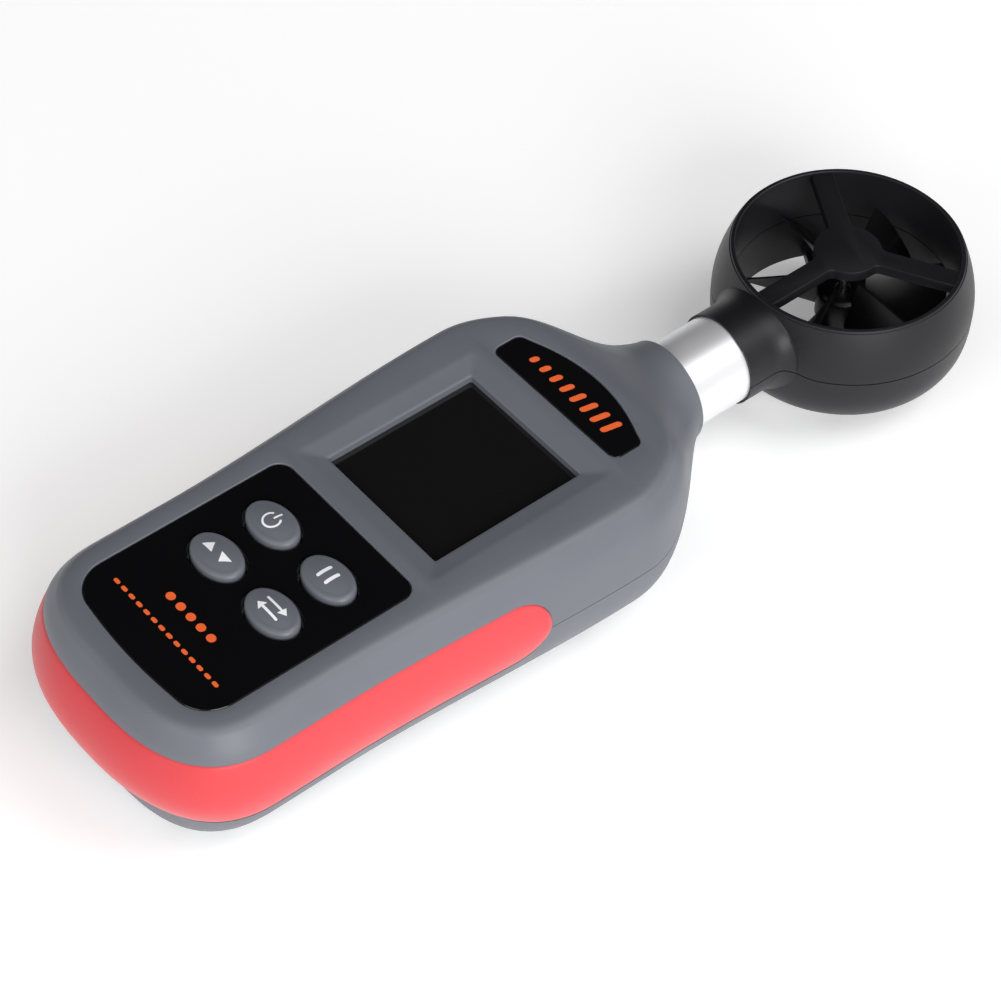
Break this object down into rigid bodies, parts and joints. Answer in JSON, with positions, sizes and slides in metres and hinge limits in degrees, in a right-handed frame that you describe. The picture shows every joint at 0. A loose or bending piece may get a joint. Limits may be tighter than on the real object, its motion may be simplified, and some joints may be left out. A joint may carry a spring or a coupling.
{
  "type": "handheld vane anemometer",
  "caption": "Handheld weather meter with a vane wheel in a round duct on a metal neck, a display, oval keys and a soft grip round its foot.",
  "frame": {"origin": "under the middle of the whole length, on the plane that the back rests on", "axes": "+X to the right across the face, +Y from the foot towards the vane head, +Z out of the face"},
  "size_m": [0.0494, 0.16, 0.0277],
  "materials": {
    "shell_grey": "satin moulded grey",
    "grip_coral": "soft matt coral",
    "panel_black": "gloss black sheet",
    "lens_dark": "dark clear lens",
    "lcd": "display glass, off",
    "key_grey": "matt grey silicone",
    "mat_rubber": "matt silicone",
    "white_plastic": "moulded white",
    "elastomer": "soft striped strip",
    "board": "green solder resist",
    "chip_black": "moulded black",
    "tin": "bright tin",
    "screw_steel": "zinc plated",
    "cell_wrap": "printed sleeve, no text",
    "contact_gold": "plated strip",
    "tube_aluminium": "satin drawn tube",
    "head_black": "satin moulded black",
    "wheel_black": "thin moulded black",
    "bearing_brass": "turned",
    "magnet": "sintered",
    "wire_red": "insulated wire",
    "bead_amber": "dipped bead"
  },
  "bodies": {
    "case": {"front_shell": "shell_grey", "rear_shell": "shell_grey", "bumper_grip": "grip_coral", "button_panel": "panel_black", "badge_plate": "panel_black", "display_window": "lens_dark", "lcd_glass": "lcd", "lcd_holder": "white_plastic", "elastomer_connectors": "elastomer", "main_pcb": "board", "controller_chip": "chip_black", "crystal_can": "tin", "sensor_connector": "white_plastic", "buzzer": "chip_black", "keypad_mat": "mat_rubber", "pcb_screws": "screw_steel", "case_screws": "screw_steel", "battery_cells": "cell_wrap", "battery_springs": "tin", "battery_contacts": "contact_gold", "neck_tube": "tube_aluminium", "sensor_wires": "wire_red", "head_front_shell": "head_black", "head_rear_shell": "head_black", "upper_bearing": "bearing_brass", "lower_bearing": "bearing_brass", "sensor_board": "board", "hall_sensor": "chip_black", "thermistor": "bead_amber"},
    "vane_wheel": {"impeller": "wheel_black", "spindle": "screw_steel", "rotor_magnet": "magnet"},
    "door": {"battery_door": "shell_grey"},
    "power_button": {"power_key": "key_grey"},
    "hold_button": {"hold_key": "key_grey"},
    "minmax_button": {"minmax_key": "key_grey"},
    "units_button": {"units_key": "key_grey"}
  },
  "joints": [
    {"name": "vane_spin", "type": "hinge", "parent": "case", "child": "vane_wheel", "pos_m": [0, 0.05995, 0.0136], "axis": [0, 0, 1], "continuous": true},
    {"name": "door_hinge", "type": "hinge", "parent": "case", "child": "door", "pos_m": [0, -0.06745, 0], "axis": [-1, 0, 0], "range_deg": [0, 75]},
    {"name": "power_press", "type": "slide", "parent": "case", "child": "power_button", "axis": [0, 0, -1], "range_m": [0, 0.0008], "stiffness_N_per_m": 1500},
    {"name": "hold_press", "type": "slide", "parent": "case", "child": "hold_button", "axis": [0, 0, -1], "range_m": [0, 0.0008], "stiffness_N_per_m": 1500},
    {"name": "minmax_press", "type": "slide", "parent": "case", "child": "minmax_button", "axis": [0, 0, -1], "range_m": [0, 0.0008], "stiffness_N_per_m": 1500},
    {"name": "units_press", "type": "slide", "parent": "case", "child": "units_button", "axis": [0, 0, -1], "range_m": [0, 0.0008], "stiffness_N_per_m": 1500}
  ]
}
